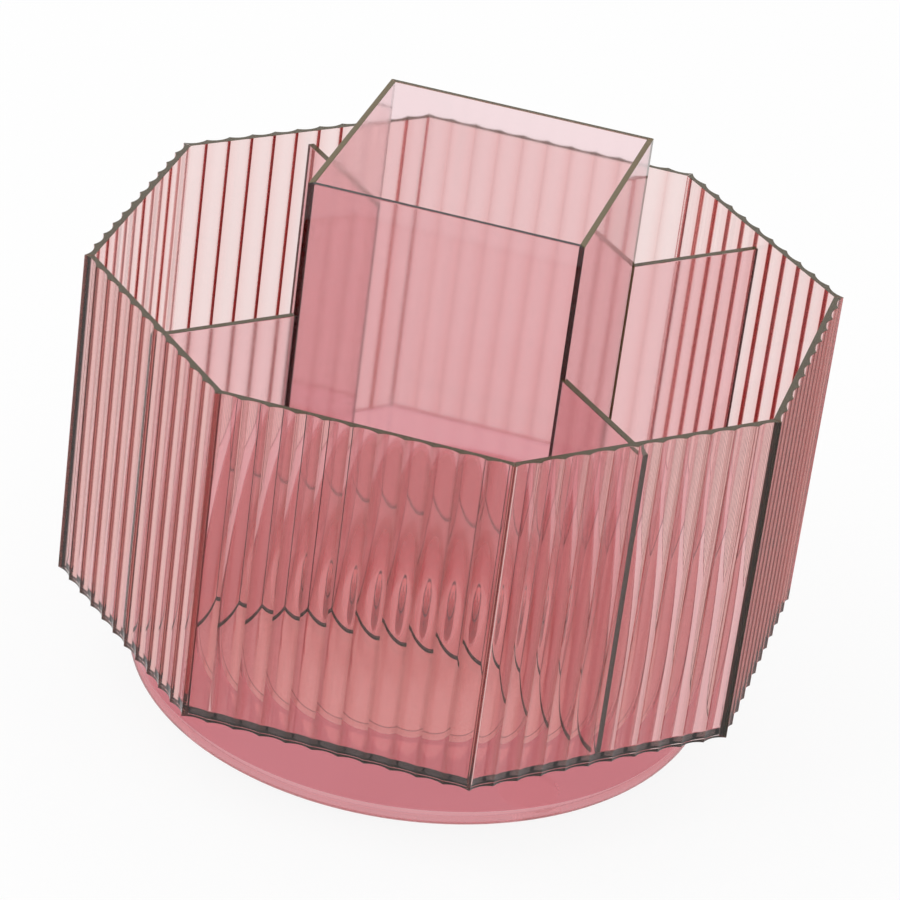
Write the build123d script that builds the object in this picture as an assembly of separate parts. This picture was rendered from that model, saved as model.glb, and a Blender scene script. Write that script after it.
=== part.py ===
from build123d import *
from math import cos, pi, sin, sqrt, tan
import os

# Rotating pen holder: an eight-sided tray of fluted clear panels with a tall square cup,
# four dividers and a round base that it turns on.
# Millimetres, +Z up, front is -Y, origin on the desk under the middle of the base.

# Tray walls
tray_across_flats = 160.0       # over the sharp ridges between the flutes of two opposite walls
tray_sides = 8
wall_height = 81.0
wall_thickness = 2.1            # from the flat inner face to the ridges
flute_depth = 1.0
flutes_per_wall = 11
flute_facets = 4                # few, because there are 88 flutes
floor_thickness = 2.0

# Cup and dividers
cup_outside = 62.5
cup_height = 110.0              # above the underside of the tray
cup_wall_thickness = 1.3
divider_thickness = 1.6
divider_drop = 3.3              # how far the dividers end below the tray's rim

# Cemented joints
glue_line = 0.04

# Base
dish_diameter = 137.5
dish_height = 23.0
dish_wall = 2.2
dish_edge_radius = 6.5
dish_edge_facets = 4
plateau_radius = 42.0
plateau_corner = 1.6
inside_corner = 3.0
boss_radius = 9.0
boss_height = 3.4
tray_gap = 1.0                  # between the dish's rim and the underside of the tray

# Feet
foot_diameter = 14.0            # over the corners
foot_sides = 24
foot_circle_radius = 54.0
foot_height = 1.8
foot_stand = 1.0                # how far a foot stands out of its recess
foot_seat_gap = 0.1
foot_count = 4

# Turntable and its thrust bearing
turntable_thickness = 2.2
turntable_rim_gap = 1.0         # all round, inside the dish's wall
roller_diameter = 4.0
roller_length = 6.0
roller_count = 12
bearing_circle_radius = 30.0
race_width = 9.0
race_thickness = 1.2
race_clearance = 0.03           # over and under each roller
race_seat_gap = 0.02
pilot_width = 1.6               # of the rings that centre the two races
pilot_height = 0.9
pilot_gap = 0.05
cage_thickness = 2.2
cage_width = 8.4
pocket_clearance = 0.15

# Pivot
hub_radius = 5.0
hub_running_clearance = 0.06
bush_wall = 1.5
bush_seat_gap = 0.02
bush_flange_radius = 8.2
bush_flange_thickness = 1.0
axial_play = 0.2
washer_radius = 9.0
washer_thickness = 1.2
screw_shank_radius = 2.0
screw_length = 7.0              # of shank inside the hub
screw_hole_clearance = 0.05
screw_head_radius = 4.0
screw_head_height = 2.4
screw_head_corner = 0.9
screw_drive_width = 1.1
screw_drive_length = 4.6
screw_drive_depth = 1.3

# Heights that follow from the sizes above
dish_underside = foot_stand
dish_rim = dish_underside + dish_height
tray_underside = dish_rim + tray_gap
floor_top = tray_underside + floor_thickness
rim_height = tray_underside + wall_height
cup_top = tray_underside + cup_height
divider_top = rim_height - divider_drop
turntable_top = tray_underside - glue_line
turntable_underside = turntable_top - turntable_thickness
race_gap = roller_diameter + 2 * race_clearance
upper_race_top = turntable_underside - race_seat_gap
upper_race_underside = upper_race_top - race_thickness
lower_race_top = upper_race_underside - race_gap
lower_race_underside = lower_race_top - race_thickness
roller_height = (upper_race_underside + lower_race_top) / 2
plateau_top = lower_race_underside - race_seat_gap
plateau_underside = plateau_top - dish_wall
boss_top = plateau_top + boss_height
hub_end = plateau_underside - axial_play

# Plan sizes that follow from the sizes above
half_corner = pi / tray_sides
ridge_face = tray_across_flats / 2
flute_face = ridge_face - flute_depth
inner_face = ridge_face - wall_thickness
cup_face = cup_outside / 2
dish_radius = dish_diameter / 2
race_inner_radius = bearing_circle_radius - race_width / 2
race_outer_radius = bearing_circle_radius + race_width / 2
pilot_outer_radius = race_inner_radius - pilot_gap
pilot_inner_radius = pilot_outer_radius - pilot_width
bush_bore_radius = hub_radius + hub_running_clearance
bush_radius = bush_bore_radius + bush_wall
boss_bore_radius = bush_radius + bush_seat_gap


def mitred_half_width(face_distance, corner_angle):
    # Half the width of a panel's face, up to the mitre that it shares with its neighbour.
    return face_distance * tan(corner_angle) - glue_line / 2 / cos(corner_angle)


def flute_line(ridge_half):
    # The outside of a front panel from above: hollow arcs side by side with sharp ridges between.
    pitch = 2 * ridge_half / flutes_per_wall
    arc_radius = (pitch ** 2 / 4 + flute_depth ** 2) / (2 * flute_depth)
    arc_centre = -flute_face - arc_radius
    line = []
    for step in range(flutes_per_wall * flute_facets + 1):
        along = step * pitch / flute_facets
        off_middle = along % pitch - pitch / 2 if step % flute_facets else pitch / 2
        line.append((along - ridge_half, arc_centre + sqrt(arc_radius ** 2 - off_middle ** 2)))
    return line


def fluted_wall():
    # One front panel: flat inside, fluted outside, mitred ends.
    ridge_half = mitred_half_width(ridge_face, half_corner)
    inner_half = mitred_half_width(inner_face, half_corner)
    with BuildPart() as panel:
        with BuildSketch(Plane.XY.offset(tray_underside)):
            with BuildLine():
                Polyline(
                    *flute_line(ridge_half),
                    (inner_half, -inner_face),
                    (-inner_half, -inner_face),
                    close=True,
                )
            make_face()
        extrude(amount=wall_height)
    return panel.part


def cup_wall():
    # One front panel of the cup, flat on both faces, with 45 degree mitres.
    inside_face = cup_face - cup_wall_thickness
    outer_half = mitred_half_width(cup_face, pi / 4)
    inner_half = mitred_half_width(inside_face, pi / 4)
    foot_level = floor_top + glue_line
    with BuildPart() as panel:
        with BuildSketch(Plane.XY.offset(foot_level)):
            with BuildLine():
                Polyline(
                    (-outer_half, -cup_face),
                    (outer_half, -cup_face),
                    (inner_half, -inside_face),
                    (-inner_half, -inside_face),
                    close=True,
                )
            make_face()
        extrude(amount=cup_top - foot_level)
    return panel.part


def divider():
    # A flat plate along -Y, notched to sit over the cup's corner once it is turned by 45 degrees.
    half = divider_thickness / 2
    notch_tip = (cup_face + glue_line) * sqrt(2)
    wall_end = inner_face - glue_line
    foot_level = floor_top + glue_line
    with BuildPart() as plate:
        with BuildSketch(Plane.XY.offset(foot_level)):
            with BuildLine():
                Polyline(
                    (0, -notch_tip),
                    (half, -notch_tip + half),
                    (half, -wall_end),
                    (-half, -wall_end),
                    (-half, -notch_tip + half),
                    close=True,
                )
            make_face()
        extrude(amount=divider_top - foot_level)
    return plate.part


def tray_floor():
    with BuildPart() as plate:
        with BuildSketch(Plane.XY.offset(tray_underside)):
            RegularPolygon(
                inner_face - glue_line, tray_sides, major_radius=False, rotation=180 / tray_sides
            )
        extrude(amount=floor_thickness)
    return plate.part


def foot_places():
    return PolarLocations(foot_circle_radius, foot_count, start_angle=45)


def rounded_edge():
    # The dish's outline round its lower edge, from the side to the underside.
    centre_radius = dish_radius - dish_edge_radius
    centre_height = dish_underside + dish_edge_radius
    turns = [pi / 2 * step / dish_edge_facets for step in range(dish_edge_facets + 1)]
    return [
        (centre_radius + dish_edge_radius * cos(turn), centre_height - dish_edge_radius * sin(turn))
        for turn in turns
    ]


def base_dish():
    # A shallow dish with a rounded lower edge, a raised plateau for the bearing and a boss
    # for the bush. A low ring on the plateau centres the lower race.
    inside_floor = dish_underside + dish_wall
    inside_radius = dish_radius - dish_wall
    recess_radius = plateau_radius - dish_wall
    pilot_top = plateau_top + pilot_height
    with BuildPart() as dish:
        with BuildSketch(Plane.XZ):
            with BuildLine():
                Polyline(
                    *rounded_edge(),
                    (recess_radius, dish_underside),
                    (recess_radius, plateau_underside),
                    (boss_bore_radius, plateau_underside),
                    (boss_bore_radius, boss_top),
                    (boss_radius, boss_top),
                    (boss_radius, plateau_top),
                    (pilot_inner_radius, plateau_top),
                    (pilot_inner_radius, pilot_top),
                    (pilot_outer_radius, pilot_top),
                    (pilot_outer_radius, plateau_top),
                    (plateau_radius - plateau_corner, plateau_top),
                    (plateau_radius, plateau_top - plateau_corner),
                    (plateau_radius, inside_floor),
                    (inside_radius - inside_corner, inside_floor),
                    (inside_radius, inside_floor + inside_corner),
                    (inside_radius, dish_rim),
                    (dish_radius, dish_rim),
                    close=True,
                )
            make_face()
        revolve(axis=Axis.Z)
        recess_depth = foot_height - foot_stand
        with BuildSketch(Plane.XY.offset(dish_underside)):
            with foot_places():
                RegularPolygon(foot_diameter / 2 + foot_seat_gap, foot_sides)
        extrude(amount=recess_depth, mode=Mode.SUBTRACT)
    return dish.part


def foot(place):
    with BuildPart() as pad:
        with BuildSketch():
            with Locations(place):
                RegularPolygon(foot_diameter / 2, foot_sides)
        extrude(amount=foot_height)
    return pad.part


def flat_ring(underside, thickness, inner_radius, outer_radius):
    with BuildPart() as ring:
        with BuildSketch(Plane.XY.offset(underside)):
            Circle(outer_radius)
            Circle(inner_radius, mode=Mode.SUBTRACT)
        extrude(amount=thickness)
    return ring.part


def roller_places():
    return PolarLocations(bearing_circle_radius, roller_count)


def bearing_rollers():
    # A ring of rollers that lie along the bearing's radii.
    with BuildPart() as rollers:
        with Locations((0, 0, roller_height)):
            with roller_places():
                Cylinder(roller_diameter / 2, roller_length, rotation=(0, 90, 0))
    return rollers.part


def roller_cage():
    with BuildPart() as ring:
        with BuildSketch(Plane.XY.offset(roller_height - cage_thickness / 2)):
            Circle(bearing_circle_radius + cage_width / 2)
            Circle(bearing_circle_radius - cage_width / 2, mode=Mode.SUBTRACT)
            with roller_places():
                Rectangle(
                    roller_length + 2 * pocket_clearance,
                    roller_diameter + 2 * pocket_clearance,
                    mode=Mode.SUBTRACT,
                )
        extrude(amount=cage_thickness)
    return ring.part


def turntable_plate():
    # The round plate under the tray, with the ring that centres the upper race and the hub
    # that turns in the base's bush.
    plate_radius = dish_radius - dish_wall - turntable_rim_gap
    hole_radius = screw_shank_radius + screw_hole_clearance
    hole_top = hub_end + screw_length + screw_shank_radius
    pilot_end = turntable_underside - pilot_height
    with BuildPart() as plate:
        with BuildSketch(Plane.XZ):
            with BuildLine():
                Polyline(
                    (0, turntable_top),
                    (plate_radius, turntable_top),
                    (plate_radius, turntable_underside),
                    (pilot_outer_radius, turntable_underside),
                    (pilot_outer_radius, pilot_end),
                    (pilot_inner_radius, pilot_end),
                    (pilot_inner_radius, turntable_underside),
                    (hub_radius, turntable_underside),
                    (hub_radius, hub_end),
                    (hole_radius, hub_end),
                    (hole_radius, hole_top),
                    (0, hole_top),
                    close=True,
                )
            make_face()
        revolve(axis=Axis.Z)
    return plate.part


def pivot_bush():
    flange_top = boss_top + bush_flange_thickness
    with BuildPart() as bush:
        with BuildSketch(Plane.XZ):
            with BuildLine():
                Polyline(
                    (bush_bore_radius, plateau_underside),
                    (bush_radius, plateau_underside),
                    (bush_radius, boss_top),
                    (bush_flange_radius, boss_top),
                    (bush_flange_radius, flange_top),
                    (bush_bore_radius, flange_top),
                    close=True,
                )
            make_face()
        revolve(axis=Axis.Z)
    return bush.part


def retaining_screw():
    # A pan-head screw, driven from below, that keeps the hub in its bush.
    head_top = hub_end - washer_thickness
    head_underside = head_top - screw_head_height
    with BuildPart() as screw:
        with BuildSketch(Plane.XY.offset(head_underside)):
            Circle(screw_head_radius)
        extrude(amount=screw_head_height)
        chamfer(screw.edges().sort_by(Axis.Z)[0], screw_head_corner)
        with BuildSketch(Plane.XY.offset(head_top)):
            Circle(screw_shank_radius)
        extrude(amount=washer_thickness + screw_length)
        with BuildSketch(Plane.XY.offset(head_underside)):
            Rectangle(screw_drive_length, screw_drive_width)
            Rectangle(screw_drive_width, screw_drive_length)
        extrude(amount=screw_drive_depth, mode=Mode.SUBTRACT)
    return screw.part


def named_parts():
    parts = {"base_dish": base_dish()}

    corners = ["back_right", "back_left", "front_left", "front_right"]
    for corner, place in zip(corners, foot_places().local_locations):
        parts["foot_" + corner] = foot(place)

    hole_radius = screw_shank_radius + screw_hole_clearance
    parts["lower_race"] = flat_ring(
        lower_race_underside, race_thickness, race_inner_radius, race_outer_radius
    )
    parts["upper_race"] = flat_ring(
        upper_race_underside, race_thickness, race_inner_radius, race_outer_radius
    )
    parts["bearing_rollers"] = bearing_rollers()
    parts["roller_cage"] = roller_cage()
    parts["pivot_bush"] = pivot_bush()
    parts["turntable_plate"] = turntable_plate()
    parts["retaining_washer"] = flat_ring(
        hub_end - washer_thickness, washer_thickness, hole_radius, washer_radius
    )
    parts["retaining_screw"] = retaining_screw()
    parts["tray_floor"] = tray_floor()

    sides = ["front", "front_right", "right", "back_right", "back", "back_left", "left", "front_left"]
    wall = fluted_wall()
    for turn, side in enumerate(sides):
        parts["wall_" + side] = Rot(0, 0, turn * 360 / tray_sides) * wall

    cup_sides = ["front", "right", "back", "left"]
    panel = cup_wall()
    for turn, side in enumerate(cup_sides):
        parts["cup_wall_" + side] = Rot(0, 0, turn * 90) * panel

    diagonals = ["front_right", "back_right", "back_left", "front_left"]
    plate = divider()
    for turn, side in enumerate(diagonals):
        parts["divider_" + side] = Rot(0, 0, 45 + turn * 90) * plate

    return parts


os.makedirs("parts", exist_ok=True)
for node, solid in named_parts().items():
    export_step(solid, "parts/" + node + ".step")
    print(node, "volume", round(solid.volume, 1), "mm3")
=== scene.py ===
import bpy
import bmesh
from math import asin, cos, pi, radians, sin, sqrt
from mathutils import Matrix, Vector


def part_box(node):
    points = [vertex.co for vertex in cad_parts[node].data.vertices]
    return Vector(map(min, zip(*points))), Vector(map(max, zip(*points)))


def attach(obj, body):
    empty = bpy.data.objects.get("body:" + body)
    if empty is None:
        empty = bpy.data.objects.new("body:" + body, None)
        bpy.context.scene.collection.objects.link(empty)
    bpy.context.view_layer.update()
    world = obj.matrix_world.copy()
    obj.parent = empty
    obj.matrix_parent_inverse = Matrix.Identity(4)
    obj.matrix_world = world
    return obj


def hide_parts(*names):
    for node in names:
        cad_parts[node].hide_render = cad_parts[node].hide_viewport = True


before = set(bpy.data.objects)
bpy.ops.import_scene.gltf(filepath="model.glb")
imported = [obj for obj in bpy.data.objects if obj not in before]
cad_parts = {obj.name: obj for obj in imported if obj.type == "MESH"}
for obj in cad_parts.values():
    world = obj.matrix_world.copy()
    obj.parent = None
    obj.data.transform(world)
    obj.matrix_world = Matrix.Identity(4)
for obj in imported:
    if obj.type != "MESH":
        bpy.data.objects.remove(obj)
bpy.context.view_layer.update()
print("frame loaded, nodes:", len(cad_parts))


# Camera: where the photograph was taken from, in degrees, metres and millimetres of lens
viewpoint = {
    "azimuth": 12.57,
    "elevation": 28.84,
    "roll": 7.68,
    "distance": 0.9744,
    "aim": (0.0009, 0.0002, 0.0611),
    "lens": 169.34,
    "sensor": 36.0,
    "near": 0.05,
    "far": 20.0,
}


def placeCamera(look):
    turn, lift, roll = (radians(look[key]) for key in ("azimuth", "elevation", "roll"))
    back = Vector((sin(turn) * cos(lift), -cos(turn) * cos(lift), sin(lift)))
    level = Vector((cos(turn), sin(turn), 0.0))
    right = cos(roll) * level + sin(roll) * back.cross(level)
    up = back.cross(right)
    bpy.ops.object.camera_add()
    camera = bpy.context.object
    camera.name = "camera"
    camera.data.lens = look["lens"]
    camera.data.sensor_width = look["sensor"]
    camera.data.clip_start = look["near"]
    camera.data.clip_end = look["far"]
    camera.matrix_world = Matrix.Translation(
        Vector(look["aim"]) + back * look["distance"]
    ) @ Matrix((right, up, back)).transposed().to_4x4()
    bpy.context.scene.camera = camera


placeCamera(viewpoint)
print("camera placed")


# Shader sums: a wire is one socket, and sums on wires add Math nodes
class Wire:
    def __init__(self, bench, socket):
        self.bench = bench
        self.socket = socket

    def __add__(self, other):
        return self.bench.work("ADD", self, other)

    def __radd__(self, other):
        return self.bench.work("ADD", other, self)

    def __sub__(self, other):
        return self.bench.work("SUBTRACT", self, other)

    def __rsub__(self, other):
        return self.bench.work("SUBTRACT", other, self)

    def __mul__(self, other):
        return self.bench.work("MULTIPLY", self, other)

    def __rmul__(self, other):
        return self.bench.work("MULTIPLY", other, self)

    def __pow__(self, other):
        return self.bench.work("POWER", self, other)


# The bench holds the node tree of one material, or of the world
class Bench:
    def __init__(self, owner):
        self.owner = owner
        self.owner.use_nodes = True
        self.tree = self.owner.node_tree
        self.tree.nodes.clear()

    def put(self, kind, settings, inputs, output=0):
        node = self.tree.nodes.new(kind)
        for key, value in settings.items():
            setattr(node, key, value)
        for key, value in inputs.items():
            socket = node.inputs[key]
            if isinstance(value, Wire):
                self.tree.links.new(value.socket, socket)
            elif isinstance(value, tuple) and len(value) == 3 and socket.type == "RGBA":
                socket.default_value = (*value, 1.0)
            else:
                socket.default_value = value
        return Wire(self, node.outputs[output]) if node.outputs else node

    def work(self, operation, first, second):
        return self.put("ShaderNodeMath", {"operation": operation}, {0: first, 1: second})

    def blend(self, share, first, second):
        settings = {"data_type": "RGBA", "blend_type": "MIX"}
        return self.put("ShaderNodeMix", settings, {0: share, 6: first, 7: second}, 2)

    def amount(self, name):  # a value that the faces of a piece carry
        return self.put("ShaderNodeAttribute", {"attribute_name": name}, {}, "Fac")

    def noise(self, scale, detail, stretch=None):
        where = self.put("ShaderNodeTexCoord", {}, {}, "Object")
        if stretch:
            where = self.put("ShaderNodeMapping", {}, {"Vector": where, "Scale": stretch})
        inputs = {"Vector": where, "Scale": scale, "Detail": detail}
        return self.put("ShaderNodeTexNoise", {}, inputs, "Fac")

    def bump(self, height, strength, distance):
        inputs = {"Height": height, "Strength": strength, "Distance": distance}
        return self.put("ShaderNodeBump", {}, inputs)

    def close(self, surface, volume=None):
        inputs = {"Surface": surface}
        if volume:
            inputs["Volume"] = volume
        self.put("ShaderNodeOutputMaterial", {}, inputs)
        return self.owner


# Clear rose plastic: a sheet's tint is mostly in its depth, and sawn edges, cemented joints
# and painted light and shade show on the faces that carry the amounts "sawn" and "cover"
everyAcrylic = {
    "waveDepth": 0.001,
    "waveStretch": (1.0, 1.0, 1.0),
    "sawnTint": (0.46, 0.45, 0.30),
    "sawnMoss": (0.33, 0.40, 0.24),
    "sawnRough": 0.22,
    "sawnHazeAndPaintedLight": (0.27, 0.20, 0.09),
    "grainScale": 900.0,
    "cementAndShadeDark": (0.024, 0.018, 0.004),
    "cementAndShadePale": (0.060, 0.046, 0.014),
    "coverRough": 0.25,
    "coverGrain": 0.3,
    "coverSheen": 0.12,
}
acrylicLooks = {
    "flutedAcrylic": {
        "index": 1.49,
        "paleTint": (1.0, 0.995, 0.99),
        "deepTint": (0.99, 0.97, 0.965),
        "cloudScale": 14.0,
        "polish": 0.004,
        "smudge": 0.02,
        "smudgeScale": 90.0,
        "wave": 0.05,
        "waveScale": 26.0,
        "waveStretch": (1.0, 1.0, 0.35),
        "depthColour": (0.72, 0.09, 0.04),
        "depthDensity": 196.0,
    },
    "flatAcrylic": {
        "index": 1.49,
        "paleTint": (1.0, 0.98, 0.985),
        "deepTint": (0.98, 0.94, 0.955),
        "cloudScale": 11.0,
        "polish": 0.05,
        "smudge": 0.03,
        "smudgeScale": 70.0,
        "wave": 0.04,
        "waveScale": 18.0,
        "waveStretch": (1.0, 1.0, 0.5),
        "depthColour": (0.76, 0.09, 0.17),
        "depthDensity": 190.0,
    },
    "frostedPlate": {  # its underside is the part that counts as sawn
        "index": 1.07,
        "paleTint": (1.0, 0.97, 0.965),
        "deepTint": (1.0, 0.95, 0.94),
        "cloudScale": 24.0,
        "polish": 0.01,
        "smudge": 0.03,
        "smudgeScale": 160.0,
        "wave": 0.05,
        "waveScale": 30.0,
        "sawnTint": (0.80, 0.58, 0.53),
        "sawnMoss": (0.76, 0.54, 0.49),
        "sawnRough": 0.30,
        "grainScale": 3000.0,
        "depthColour": (0.98, 0.50, 0.45),
        "depthDensity": 30.0,
    },
    "clearMoulding": {
        "index": 1.03,
        "paleTint": (0.99, 0.96, 0.955),
        "deepTint": (0.97, 0.93, 0.93),
        "cloudScale": 60.0,
        "polish": 0.06,
        "smudge": 0.14,
        "smudgeScale": 300.0,
        "wave": 0.08,
        "waveScale": 120.0,
        "depthColour": (0.80, 0.60, 0.60),
        "depthDensity": 20.0,
    },
    "clearRoller": {
        "index": 1.04,
        "paleTint": (1.0, 0.98, 0.98),
        "deepTint": (0.98, 0.95, 0.95),
        "cloudScale": 200.0,
        "polish": 0.02,
        "smudge": 0.06,
        "smudgeScale": 500.0,
        "wave": 0.05,
        "waveScale": 200.0,
        "depthColour": (0.80, 0.70, 0.70),
        "depthDensity": 15.0,
    },
    "clearFoot": {
        "index": 1.08,
        "paleTint": (0.98, 0.95, 0.94),
        "deepTint": (0.96, 0.91, 0.91),
        "cloudScale": 60.0,
        "polish": 0.1,
        "smudge": 0.12,
        "smudgeScale": 300.0,
        "wave": 0.15,
        "waveScale": 120.0,
        "depthColour": (0.80, 0.60, 0.60),
        "depthDensity": 40.0,
    },
    "baseAcrylic": {  # its plateau and boss are the part that counts as sawn
        "index": 1.08,
        "paleTint": (0.86, 0.58, 0.615),
        "deepTint": (0.80, 0.51, 0.545),
        "cloudScale": 16.0,
        "polish": 0.12,
        "smudge": 0.14,
        "smudgeScale": 60.0,
        "wave": 0.05,
        "waveScale": 22.0,
        "sawnTint": (1.0, 0.82, 0.80),
        "sawnMoss": (1.0, 0.80, 0.77),
        "sawnRough": 0.12,
        "depthColour": (0.76, 0.18, 0.20),
        "depthDensity": 60.0,
    },
}


def makeAcrylic(name, look):
    bench = Bench(bpy.data.materials.new(name))
    cloud = bench.noise(look["cloudScale"], 3.0)
    smudge = bench.noise(look["smudgeScale"], 4.0)
    grain = bench.noise(look["grainScale"], 3.0)
    wave = bench.noise(look["waveScale"], 1.0, look["waveStretch"])
    sawn = bench.amount("sawn")
    sheet = bench.blend(cloud, look["paleTint"], look["deepTint"])
    edge = bench.blend(smudge, look["sawnTint"], look["sawnMoss"])
    clear = smudge ** 2.0 * look["smudge"] + look["polish"]
    dull = (grain + 0.5) * look["sawnRough"]
    sheetShader = bench.put("ShaderNodeBsdfPrincipled", {}, {
        "Base Color": bench.blend(sawn, sheet, edge),
        "Roughness": clear + sawn * (dull - clear),
        "IOR": look["index"],
        "Transmission Weight": 1.0,
        "Normal": bench.bump(wave, look["wave"], look["waveDepth"]),
    })
    # cemented joints and painted shade share this colour; the haze also serves painted light
    cementAndShade = bench.blend(smudge, look["cementAndShadeDark"], look["cementAndShadePale"])
    coverShader = bench.put("ShaderNodeBsdfPrincipled", {}, {
        "Base Color": bench.blend(sawn, cementAndShade, look["sawnHazeAndPaintedLight"]),
        "Roughness": grain * look["coverGrain"] + look["coverRough"],
        "Specular IOR Level": look["coverSheen"],
    })
    cover = bench.amount("cover")
    surface = bench.put("ShaderNodeMixShader", {}, {0: cover, 1: sheetShader, 2: coverShader})
    depth = bench.put("ShaderNodeVolumeAbsorption", {}, {
        "Color": look["depthColour"], "Density": look["depthDensity"],
    })
    return bench.close(surface, depth)


# Zinc plate on the screw and its washer
screwSteel = {
    "first": (0.94, 0.84, 0.82),
    "second": (1.0, 0.93, 0.92),
    "roughLow": 0.24,
    "roughSpread": 0.2,
    "broadScale": 105.0,
    "fineScale": 1680.0,
    "stretch": (1.0, 1.0, 0.4),
    "bump": 0.2,
    "bumpDepth": 0.00004,
}


def makeSteel(name, look):
    bench = Bench(bpy.data.materials.new(name))
    broad = bench.noise(look["broadScale"], 2.0, look["stretch"])
    fine = bench.noise(look["fineScale"], 3.0, look["stretch"])
    surface = bench.put("ShaderNodeBsdfPrincipled", {}, {
        "Base Color": bench.blend(broad, look["first"], look["second"]),
        "Metallic": 1.0,
        "Roughness": fine * look["roughSpread"] + look["roughLow"],
        "Normal": bench.bump(fine, look["bump"], look["bumpDepth"]),
    })
    return bench.close(surface)


finishes = {
    name: makeAcrylic(name, {**everyAcrylic, **look}) for name, look in acrylicLooks.items()
}
finishes["screwSteel"] = makeSteel("screwSteel", screwSteel)
print("finishes made:", len(finishes))


# Modelling helpers
mergeReach = 0.000002     # points nearer than this become one
cutReach = 0.000001       # a cut takes points nearer than this as on it
broadSheet = 0.001        # square metres: larger faces stay flat shaded


def restAll():
    if bpy.context.object and bpy.context.object.mode != "OBJECT":
        bpy.ops.object.mode_set(mode="OBJECT")
    bpy.ops.object.select_all(action="DESELECT")


def choose(kind, test):
    bpy.ops.mesh.select_mode(type=kind)
    bpy.ops.mesh.select_all(action="DESELECT")
    work = bmesh.from_edit_mesh(bpy.context.object.data)
    parts = {"VERT": work.verts, "FACE": work.faces}[kind]
    for part in parts:
        if test(part):
            part.select_set(True)
    work.select_flush_mode()
    bmesh.update_edit_mesh(bpy.context.object.data)


def openMesh(name):
    piece = bpy.context.object
    piece.name = name
    piece.data.name = name
    bpy.ops.object.transform_apply(location=True, rotation=True, scale=True)
    bpy.ops.object.mode_set(mode="EDIT")
    return piece


def closeMesh():
    bpy.ops.mesh.select_all(action="SELECT")
    bpy.ops.mesh.remove_doubles(threshold=mergeReach)
    bpy.ops.mesh.normals_make_consistent(inside=False)
    bpy.ops.object.mode_set(mode="OBJECT")


def trimEnd(through, outward):
    bpy.ops.mesh.select_all(action="SELECT")
    bpy.ops.mesh.bisect(
        plane_co=through, plane_no=outward, use_fill=True, clear_outer=True, threshold=cutReach
    )


def markLevel(level):
    bpy.ops.mesh.select_all(action="SELECT")
    bpy.ops.mesh.bisect(plane_co=(0, 0, level), plane_no=(0, 0, 1), threshold=cutReach)
    return level


def soften(piece, look, angle):
    bevel = piece.modifiers.new("soften", "BEVEL")
    bevel.width = look["softEdge"]
    bevel.segments = look["softSteps"]
    bevel.limit_method = "ANGLE"
    bevel.angle_limit = radians(angle)
    bpy.ops.object.modifier_apply(modifier=bevel.name)
    bpy.ops.object.shade_smooth_by_angle(angle=radians(20.0))
    for face in piece.data.polygons:
        if face.area > broadSheet:
            face.use_smooth = False


def facesUp(face):
    return face.normal.z > 0.9


def facesDown(face):
    return face.normal.z < -0.9


def standsUpright(face):
    return abs(face.normal.z) < 0.1


def dress(piece, finish, sawnShare=None, coverShare=None):
    piece.data.materials.clear()
    piece.data.materials.append(finishes[finish])
    for name, share in (("sawn", sawnShare), ("cover", coverShare)):
        values = piece.data.attributes.new(name, "FLOAT", "FACE")
        for face in piece.data.polygons:
            face.material_index = 0
            values.data[face.index].value = share(face) if share else 0.0


def paint(piece, name, amount, test):
    values = piece.data.attributes[name].data
    for face in piece.data.polygons:
        if test(face):
            values[face.index].value = amount


def turnedCopy(piece, name, quarterTurns):
    restAll()
    piece.select_set(True)
    bpy.context.view_layer.objects.active = piece
    bpy.ops.object.duplicate()
    copy = bpy.context.object
    copy.name = name
    copy.data.name = name
    copy.rotation_euler.z = quarterTurns * pi / 2
    bpy.ops.object.transform_apply(location=True, rotation=True, scale=True)
    return copy


def settle(piece, body, node):
    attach(piece, body)
    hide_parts(node)


# Fluted wall: a row of hollow flutes outside, flat inside, mitred ends
flutedWall = {
    "flutes": 11,
    "fluteDepth": 0.00084,
    "arcSteps": 12,
    "softEdge": 0.00007,
    "softSteps": 2,
    "rimHaze": 0.25,
    "rimLean": 0.5,           # faces that lean up more than this belong to the rim
    "cementAndShadeShare": 0.9,
    "ridgeShade": 0.22,       # painted shade on the slopes of the flutes, from the first lean to the last
    "ridgeStart": 0.3,
    "ridgeEnd": 0.6,
    "clearSides": ["back_right", "back", "back_left", "left"],
    "cornerShade": {-22.5: 0.85, -157.5: 0.4},
    "cornerReach": 0.08,
}


# painted shade: darkens the steep facets next to each ridge
def ridgeShade(face, look):
    slope = abs(face.normal.x)
    if face.normal.y > 0 or not standsUpright(face) or slope > look["ridgeEnd"]:
        return 0.0
    return look["ridgeShade"] * max(0.0, slope - look["ridgeStart"]) / look["ridgeStart"]


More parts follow.
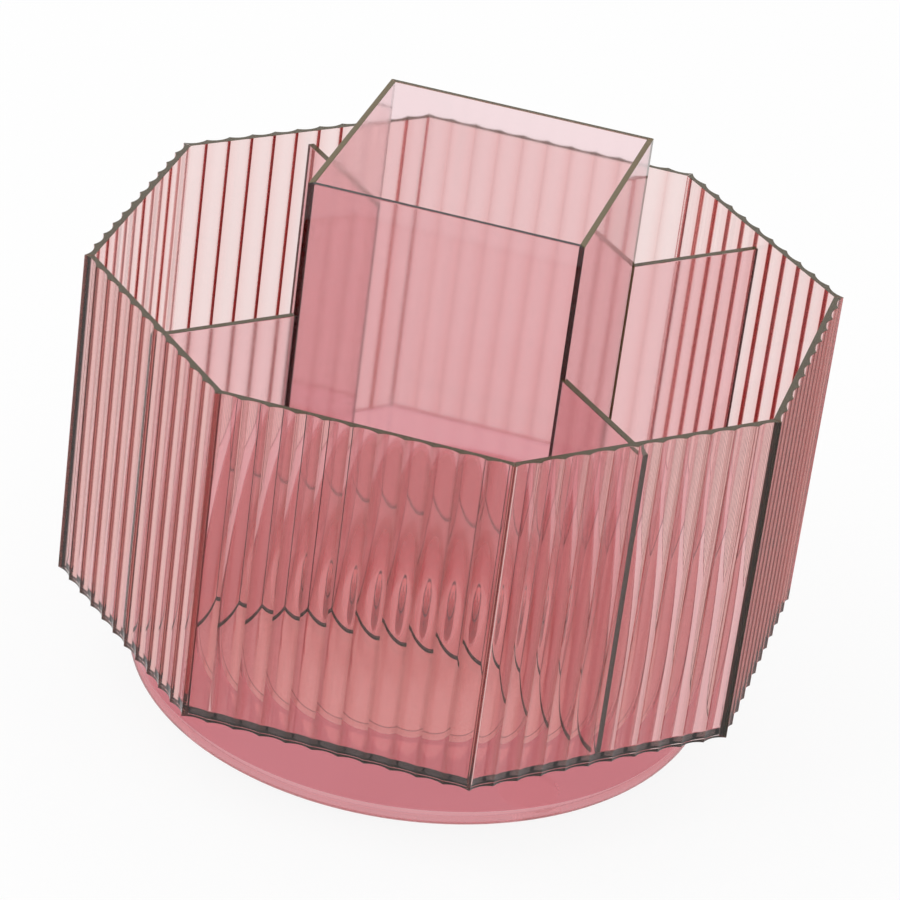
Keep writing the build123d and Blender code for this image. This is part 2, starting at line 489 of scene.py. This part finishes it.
def makeFlutedWall(look):
    low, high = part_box("wall_front")
    pitch = (high.x - low.x) / look["flutes"]
    depth = look["fluteDepth"]
    bow = (pitch * pitch / 4 + depth * depth) / (2 * depth)
    tall = high.z - low.z
    restAll()
    bpy.ops.mesh.primitive_plane_add(
        size=tall, location=(low.x - tall / 2, low.y, low.z + tall / 2), rotation=(pi / 2, 0, 0)
    )
    wall = openMesh("frontWall")
    choose("VERT", lambda vert: vert.co.x < low.x - tall / 2)
    bpy.ops.mesh.delete(type="VERT")
    bpy.ops.mesh.select_all(action="SELECT")
    bpy.ops.mesh.spin(
        steps=look["arcSteps"], angle=2 * asin(pitch / 2 / bow),
        center=(low.x + pitch / 2, low.y + depth - bow, 0), axis=(0, 0, 1),
    )
    bpy.ops.object.mode_set(mode="OBJECT")
    row = wall.modifiers.new("row", "ARRAY")
    row.use_relative_offset = False
    row.use_constant_offset = True
    row.constant_offset_displace = (pitch, 0, 0)
    row.count = look["flutes"]
    row.use_merge_vertices = True
    row.merge_threshold = mergeReach
    bpy.ops.object.modifier_apply(modifier=row.name)
    bpy.ops.object.mode_set(mode="EDIT")
    bpy.ops.mesh.select_all(action="SELECT")
    bpy.ops.mesh.extrude_region_move(TRANSFORM_OT_translate={"value": (0, high.y - low.y, 0)})
    bpy.ops.transform.resize(value=(1, 0, 1), center_override=(0, high.y, 0))
    lean = pi / 8
    for side in (1, -1):
        trimEnd((side * high.x, low.y, 0), (side * cos(lean), sin(lean), 0))
    closeMesh()
    # cover: haze on the rim, a dark cemented underside with painted shade, painted shade on the
    # slopes
    dress(
        wall, "flutedAcrylic",
        lambda face: 1.0 * facesUp(face),
        lambda face: look["rimHaze"] * facesUp(face) + look["cementAndShadeShare"] * facesDown(face)
        + ridgeShade(face, look),
    )
    soften(wall, look, 80.0)
    return wall


frontWall = makeFlutedWall(flutedWall)
wallSides = [
    "front", "front_right", "right", "back_right", "back", "back_left", "left", "front_left",
]
for turn, side in enumerate(wallSides):
    name = "wall" + side.title().replace("_", "")
    wall = frontWall if turn == 0 else turnedCopy(frontWall, name, turn / 2)
    wall.name = name
    # the dark underside and the painted shade on the slopes are left off these four walls
    if side in flutedWall["clearSides"]:
        paint(wall, "cover", 0.0, lambda face: face.normal.z < flutedWall["rimLean"])
    # painted shade: dark mitre faces at two of the eight corners, right to front right and left
    # to front left
    for angle, paintedShade in flutedWall["cornerShade"].items():
        corner = Vector((cos(radians(angle)), sin(radians(angle)), 0))
        paint(wall, "cover", paintedShade, lambda face: (
            standsUpright(face) and abs(face.normal.dot(corner)) < 0.1
            and face.center.dot(corner) > flutedWall["cornerReach"]
        ))
    settle(wall, "tray", "wall_" + side)
print("fluted walls made:", len(wallSides), "faces each:", len(frontWall.data.polygons))


# Cup: four flat panels, mitred at the corners
cupPanel = {
    "softEdge": 0.00015,
    "softSteps": 2,
    # painted shade: the rims are clear at the front and hazy and darker at the right, back and
    # left
    "rimSawn": {"front": 0.0, "right": 1.0, "back": 0.8, "left": 1.0},
    "rimHaze": {"front": 0.0, "right": 0.5, "back": 0.35, "left": 0.5},
    "cementAndShadeShare": {"front": 0.92, "right": 0.7, "back": 0.3, "left": 0.6},
    "cementAndShadeHeight": 0.0007,
    "mitreSawn": 0.3,
    "jointPaintedLight": 0.95,        # painted light: an opaque haze in the back right corner only, where the divider's notch sits
    "jointReach": 0.02,
}


def makeCupPanel(look):
    low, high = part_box("cup_wall_front")
    restAll()
    bpy.ops.mesh.primitive_cube_add(size=1, location=(low + high) / 2, scale=high - low)
    panel = openMesh("cupFront")
    for side in (1, -1):
        trimEnd((side * high.x, low.y, 0), (side * sqrt(0.5), sqrt(0.5), 0))
    markLevel(low.z + look["cementAndShadeHeight"])
    closeMesh()
    dress(panel, "flatAcrylic", lambda face: look["mitreSawn"] * (abs(face.normal.x) > 0.6))
    soften(panel, look, 60.0)
    return panel


def paintJointLight(piece, test):
    paint(piece, "sawn", 1.0, test)
    paint(piece, "cover", cupPanel["jointPaintedLight"], test)


def inBackRightMitre(face):
    reach = cupPanel["jointReach"]
    return (
        face.normal.x * face.normal.y < -0.2 and face.center.x > reach and face.center.y > reach
    )


cupFront = makeCupPanel(cupPanel)
cupSides = ["front", "right", "back", "left"]
cupPanels = [cupFront] + [
    turnedCopy(cupFront, "cup" + side.title(), turn + 1) for turn, side in enumerate(cupSides[1:])
]
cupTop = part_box("cup_wall_front")[1].z - cupPanel["softEdge"] * 1.1
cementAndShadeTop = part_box("cup_wall_front")[0].z + cupPanel["cementAndShadeHeight"]
for panel, side in zip(cupPanels, cupSides):
    # each side's rim gets its own haze: painted shade
    paint(panel, "sawn", cupPanel["rimSawn"][side], lambda face: face.center.z > cupTop)
    paint(panel, "cover", cupPanel["rimHaze"][side], lambda face: face.center.z > cupTop)
    # dark cemented foot with painted shade, darker at the front than at the back
    paint(panel, "cover", cupPanel["cementAndShadeShare"][side], lambda face: face.center.z < cementAndShadeTop)
    # painted light: an opaque haze on the back right joint only
    if side in ("right", "back"):
        paintJointLight(panel, inBackRightMitre)
    settle(panel, "tray", "cup_wall_" + side)
print("cup panels made:", len(cupSides))


# Dividers: from the cup's corners to the diagonal walls, notched over the corner
dividerPlate = {
    "cupEnd": 0.04425,        # distances from the turning axis
    "wallEnd": 0.07786,
    "thickness": 0.0016,
    "softEdge": 0.00015,
    "softSteps": 2,
    "rimHaze": 0.3,
    "endCementAndShade": 0.92,          # dark cemented end with painted shade, against the wall
    "cementAndShadeShare": {"front": 0.92, "back": 0.3},
    "cementAndShadeHeight": 0.0007,
    "notchReach": 0.001,
}


def makeDivider(look):
    low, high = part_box("divider_front_right")
    half = look["thickness"] / 2
    centre = (0, -(look["cupEnd"] + look["wallEnd"]) / 2 + half / 2, (low.z + high.z) / 2)
    size = (2 * half, look["wallEnd"] - look["cupEnd"] + half, high.z - low.z)
    restAll()
    bpy.ops.mesh.primitive_cube_add(size=1, location=centre, scale=size)
    plate = openMesh("dividerStart")
    bpy.ops.mesh.select_all(action="SELECT")
    bpy.ops.mesh.bisect(plane_co=(0, 0, 0), plane_no=(1, 0, 0), threshold=cutReach)
    choose("VERT", lambda vert: abs(vert.co.x) < half / 4 and vert.co.y > centre[1])
    bpy.ops.transform.translate(value=(0, -half, 0))
    markLevel(low.z + look["cementAndShadeHeight"])
    closeMesh()
    # cover: haze on the rim, and a dark cemented end with painted shade against the wall
    dress(
        plate, "flatAcrylic",
        lambda face: 1.0 * facesUp(face),
        lambda face: look["rimHaze"] * facesUp(face) + look["endCementAndShade"] * (face.normal.y < -0.9),
    )
    soften(plate, look, 60.0)
    return plate


def inNotch(face):
    reach = dividerPlate["cupEnd"] + dividerPlate["notchReach"]
    return standsUpright(face) and face.center.xy.length < reach


dividerStart = makeDivider(dividerPlate)
diagonals = ["front_right", "back_right", "back_left", "front_left"]
for turn, side in enumerate(diagonals):
    plate = turnedCopy(dividerStart, "divider" + side.title().replace("_", ""), turn + 0.5)
    # dark cemented foot with painted shade, darker on the front dividers than on the back ones
    share = dividerPlate["cementAndShadeShare"][side.split("_")[0]]
    paint(plate, "cover", share, lambda face: face.center.z < cementAndShadeTop)
    # painted light: an opaque haze in the back right divider's notch only
    if side == "back_right":
        paintJointLight(plate, inNotch)
    settle(plate, "tray", "divider_" + side)
bpy.data.objects.remove(dividerStart)
print("dividers made:", len(diagonals))


# Tray floor: an eight-sided plate between the walls
trayFloor = {
    "inset": 0.004,
    "softEdge": 0.0002,
    "softSteps": 2,
    "cementAndShadeShare": 0.92,
    "cementAndShadeHeight": 0.0004,
}


def makeTrayFloor(look):
    low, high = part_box("tray_floor")
    restAll()
    bpy.ops.mesh.primitive_cylinder_add(
        vertices=8, radius=high.x / cos(pi / 8), depth=high.z - low.z,
        location=(0, 0, (low.z + high.z) / 2), rotation=(0, 0, pi / 8),
    )
    plate = openMesh("trayFloor")
    choose("FACE", lambda face: abs(face.normal.z) > 0.9)
    bpy.ops.mesh.inset(thickness=look["inset"], depth=0)
    cementAndShadeEnd = markLevel(low.z + look["cementAndShadeHeight"])
    closeMesh()
    # dark cemented edge with painted shade, only on the right, front right, front and front left
    # edges
    dress(plate, "flatAcrylic", None, lambda face: look["cementAndShadeShare"] * (
        face.normal.x > 4 * face.normal.y + 0.1 and face.center.z < cementAndShadeEnd
    ))
    soften(plate, look, 60.0)
    return plate


settle(makeTrayFloor(trayFloor), "tray", "tray_floor")
print("tray floor made")


# Turned pieces: the outline is drawn point by point and spun round the axis
seatGap = 0.00002         # between a race and the plate that it sits on


def startOutline(name, first):
    side = 0.001
    restAll()
    bpy.ops.mesh.primitive_plane_add(size=side, location=(first[0], 0, first[1]))
    piece = openMesh(name)
    choose("VERT", lambda vert: vert.co.x < first[0] or vert.co.y < 0)
    bpy.ops.mesh.delete(type="VERT")
    bpy.ops.mesh.select_all(action="SELECT")
    bpy.ops.transform.translate(value=(-side / 2, -side / 2, 0))
    return piece


def drawOutline(points):
    for start, end in zip(points, points[1:]):
        step = (end[0] - start[0], 0, end[1] - start[1])
        bpy.ops.mesh.extrude_region_move(TRANSFORM_OT_translate={"value": step})


def spinOutline(steps):
    bpy.ops.mesh.select_all(action="SELECT")
    bpy.ops.mesh.spin(steps=steps, angle=2 * pi, center=(0, 0, 0), axis=(0, 0, 1))
    closeMesh()


# Base: a shallow dish with a rounded lower edge and a raised plateau under the bearing
baseDish = {
    "wall": 0.0022,
    "edgeRadius": 0.0065,
    "plateauRadius": 0.042,
    "plateauCorner": 0.0016,
    "insideCorner": 0.003,
    "bossRadius": 0.009,
    "boreRadius": 0.00658,
    "bushFlange": 0.001,
    "edgeSteps": 10,
    "spinSteps": 144,
    "softEdge": 0.0003,
    "softSteps": 2,
    "plateauPale": 0.9,
    "bossPale": 1.0,
    "paleMargin": 0.0005,
}


def makeBaseDish(look):
    low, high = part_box("base_dish")
    bushLow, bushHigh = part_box("pivot_bush")
    under = bushLow.z
    bossTop = bushHigh.z - look["bushFlange"]
    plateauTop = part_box("lower_race")[0].z - seatGap
    wall, edge = look["wall"], look["edgeRadius"]
    radius = high.x
    inner = radius - wall
    plateau, boss, bore = look["plateauRadius"], look["bossRadius"], look["boreRadius"]
    recess = plateau - wall
    dish = startOutline("baseDish", (radius, low.z + edge))
    bpy.ops.mesh.spin(
        steps=look["edgeSteps"], angle=pi / 2,
        center=(radius - edge, 0, low.z + edge), axis=(0, -1, 0),
    )
    drawOutline([
        (radius - edge, low.z), (recess, low.z), (recess, under), (bore, under),
        (bore, bossTop), (boss, bossTop), (boss, plateauTop),
        (plateau - look["plateauCorner"], plateauTop),
        (plateau, plateauTop - look["plateauCorner"]),
        (plateau, low.z + wall),
        (inner - look["insideCorner"], low.z + wall),
        (inner, low.z + wall + look["insideCorner"]),
        (inner, high.z), (radius, high.z), (radius, low.z + edge),
    ])
    bpy.ops.mesh.select_all(action="SELECT")
    bpy.ops.mesh.remove_doubles(threshold=mergeReach)
    spinOutline(look["spinSteps"])
    dress(dish, "baseAcrylic")
    soften(dish, look, 40.0)
    for reach, pale in ((plateau, look["plateauPale"]), (boss, look["bossPale"])):
        paint(dish, "sawn", pale, lambda face: (
            face.center.xy.length < reach + look["paleMargin"]
            and face.center.z > low.z + look["insideCorner"]
        ))
    return dish


settle(makeBaseDish(baseDish), "base", "base_dish")
print("base dish made")


# Turntable plate: cemented under the tray, with the hub that turns in the base
turntable = {
    "hubRadius": 0.005,
    "holeRadius": 0.00205,
    "holeSpare": 0.0002,      # of the hole beyond the screw's end
    "spinSteps": 128,
    "softEdge": 0.0002,
    "softSteps": 2,
    "frostRadius": 0.024,
    "innerFrost": 0.45,
    "edgeShade": 0.5,
}


def makeTurntable(look):
    low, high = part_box("turntable_plate")
    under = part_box("upper_race")[1].z + seatGap
    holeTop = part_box("retaining_screw")[1].z + look["holeSpare"]
    hub, hole = look["hubRadius"], look["holeRadius"]
    plate = startOutline("turntablePlate", (0, high.z))
    drawOutline([
        (0, high.z), (high.x, high.z), (high.x, under), (look["frostRadius"], under),
        (hub, under), (hub, low.z), (hole, low.z), (hole, holeTop), (0, holeTop),
    ])
    spinOutline(look["spinSteps"])
    dress(plate, "frostedPlate", lambda face: 1.0 * facesDown(face))
    soften(plate, look, 40.0)
    paint(plate, "sawn", look["innerFrost"], lambda face: (
        facesDown(face) and face.center.xy.length < look["frostRadius"]
    ))
    # painted shade on the bevel round the outer edge of the top
    paint(plate, "cover", look["edgeShade"], lambda face: (
        face.center.z > high.z - look["softEdge"] and 0.1 < face.normal.z < 0.95
    ))
    return plate


settle(makeTurntable(turntable), "tray", "turntable_plate")
print("turntable plate made")


# Bearing, screw and feet keep their solids and get their finishes
keptNodes = {
    "lower_race": "clearMoulding",
    "upper_race": "clearMoulding",
    "bearing_rollers": "clearRoller",
    "roller_cage": "clearMoulding",
    "pivot_bush": "clearMoulding",
    "retaining_washer": "screwSteel",
    "retaining_screw": "screwSteel",
    "foot_front_left": "clearFoot",
    "foot_front_right": "clearFoot",
    "foot_back_right": "clearFoot",
    "foot_back_left": "clearFoot",
}
for node, finish in keptNodes.items():
    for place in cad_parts[node].material_slots:
        place.material = finishes[finish]
print("kept nodes dressed:", len(keptNodes))


# Floor, world and lamp
studio = {
    "floorSize": 6.0,
    "floorColour": (0.97, 0.97, 0.97),
    "floorWhite": 0.9,
    "skyStrength": 0.85,
    "lampStrength": 6.0,
    "lampSize": 1.2,
    "lampPlace": (-0.9, -0.7, 1.5),
    "lampAim": (0, 0, 0.07),
    "bounces": 32,
}


def seenWhite(bench):
    path = bench.put("ShaderNodeLightPath", {}, {}, "Is Camera Ray")
    rays = path.socket.node.outputs
    for kind in ("Is Glossy Ray", "Is Singular Ray", "Is Transmission Ray"):
        path = path + Wire(bench, rays[kind])
    return bench.work("MINIMUM", path, 1.0)


def makeStudio(look):
    restAll()
    bpy.ops.mesh.primitive_plane_add(size=look["floorSize"], location=(0, 0, 0))
    floor = openMesh("studioFloor")
    bpy.ops.mesh.subdivide(number_cuts=3)
    bpy.ops.object.mode_set(mode="OBJECT")
    bench = Bench(bpy.data.materials.new("paleFloor"))
    lit = bench.put("ShaderNodeBsdfDiffuse", {}, {"Color": look["floorColour"]})
    glow = bench.put("ShaderNodeEmission", {}, {"Color": (1.0, 1.0, 1.0), "Strength": 1.0})
    share = seenWhite(bench) * look["floorWhite"]
    surface = bench.put("ShaderNodeMixShader", {}, {0: share, 1: lit, 2: glow})
    floor.data.materials.append(bench.close(surface))

    world = bpy.data.worlds.new("softStudio")
    bpy.context.scene.world = world
    sky = Bench(world)
    strength = seenWhite(sky) * (1.0 - look["skyStrength"]) + look["skyStrength"]
    light = sky.put("ShaderNodeBackground", {}, {"Color": (1.0, 1.0, 1.0), "Strength": strength})
    sky.put("ShaderNodeOutputWorld", {}, {"Surface": light})

    bpy.ops.object.light_add(type="AREA", location=look["lampPlace"])
    lamp = bpy.context.object
    lamp.name = "softLamp"
    lamp.data.energy = look["lampStrength"]
    lamp.data.size = look["lampSize"]
    toward = Vector(look["lampAim"]) - lamp.location
    lamp.rotation_euler = toward.to_track_quat("-Z", "Y").to_euler()

    scene = bpy.context.scene
    scene.view_settings.view_transform = "Standard"
    scene.cycles.max_bounces = look["bounces"]
    scene.cycles.transmission_bounces = look["bounces"]
    scene.cycles.glossy_bounces = look["bounces"]
    scene.cycles.transparent_max_bounces = look["bounces"]


makeStudio(studio)
print("studio made")
